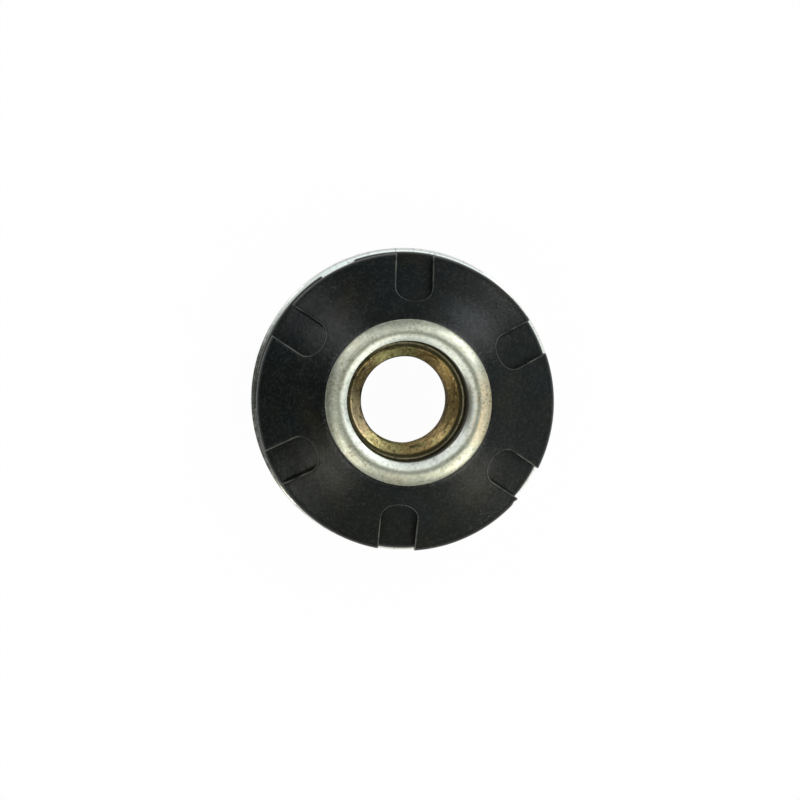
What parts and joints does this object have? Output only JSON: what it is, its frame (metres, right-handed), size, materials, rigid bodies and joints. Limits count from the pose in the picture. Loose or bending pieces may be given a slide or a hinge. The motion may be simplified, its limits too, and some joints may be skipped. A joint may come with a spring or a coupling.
{
  "type": "threaded caster insert",
  "caption": "Round press-in insert for a tube's end: flanged steel barrel with a threaded bore for a caster stem, flared over nested conical spring discs with notched rims.",
  "frame": {"origin": "centre of the flange's outer face, on the bore's axis", "axes": "+Z along the bore's axis into the tube, towards the flared collar; +Y through one notch of the front disc"},
  "size_m": [0.037, 0.037, 0.0166],
  "materials": {
    "zinc_plated_steel": "bright zinc plating with a yellow tint in the bore",
    "black_spring_steel": "black oxide on spring steel"
  },
  "bodies": {
    "root": {"threaded_barrel": "zinc_plated_steel", "front_grip_disc": "black_spring_steel", "rear_grip_disc": "black_spring_steel"}
  },
  "joints": []
}
